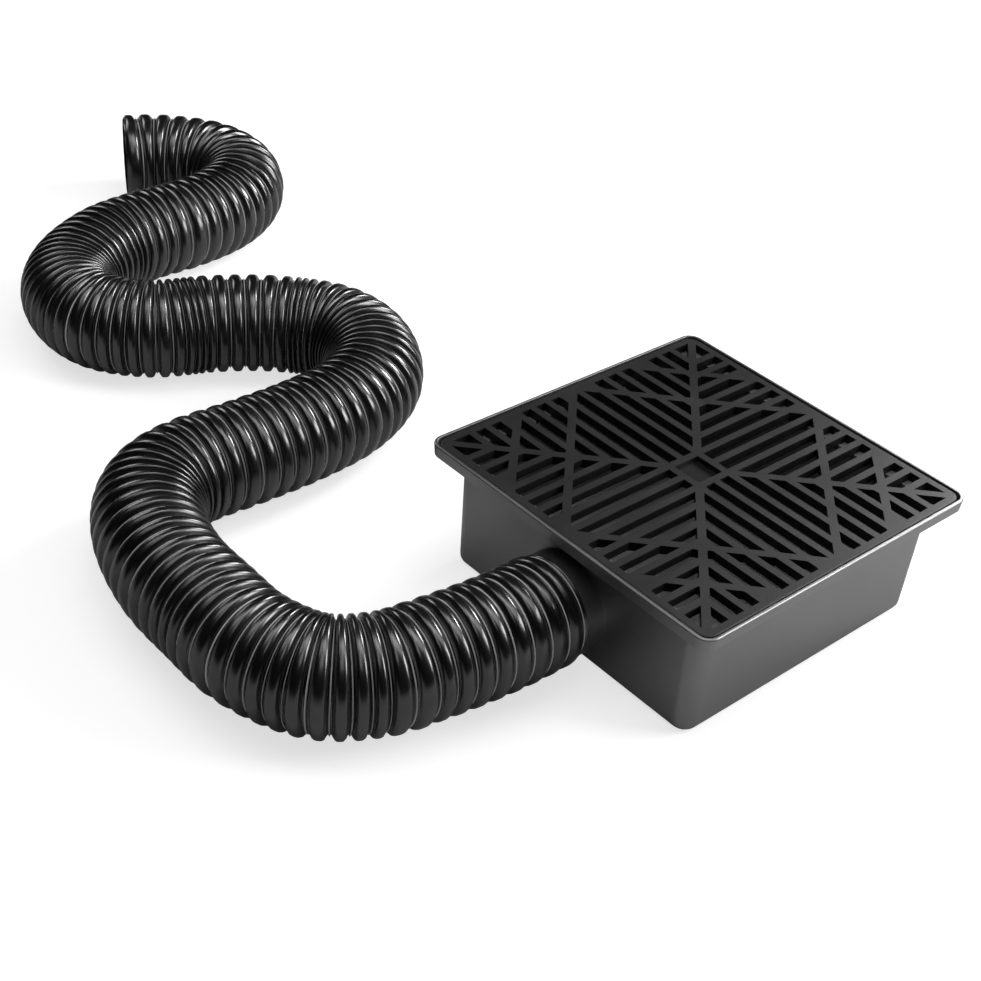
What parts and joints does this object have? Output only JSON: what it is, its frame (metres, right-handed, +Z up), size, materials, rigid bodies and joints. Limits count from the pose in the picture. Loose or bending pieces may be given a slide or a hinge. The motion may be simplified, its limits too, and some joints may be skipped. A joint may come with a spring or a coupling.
{
  "type": "catch basin with flexible drain hose",
  "caption": "Square plastic catch basin with a drop-in slotted grate and a corrugated drain hose that leaves one side and lies in curves on the ground.",
  "frame": {"origin": "middle of the basin's underside, on the surface that the basin and the hose lie on", "axes": "+Z up; -X out of the basin along the outlet; +Y the side towards which the hose curves away"},
  "size_m": [0.6125, 1.139, 0.126],
  "materials": {
    "basin_plastic": "satin black moulded plastic",
    "grate_plastic": "dull black moulded plastic",
    "hose_plastic": "shiny black blow-moulded plastic"
  },
  "bodies": {
    "root": {"basin": "basin_plastic", "grate": "grate_plastic", "hose": "hose_plastic"}
  },
  "joints": []
}
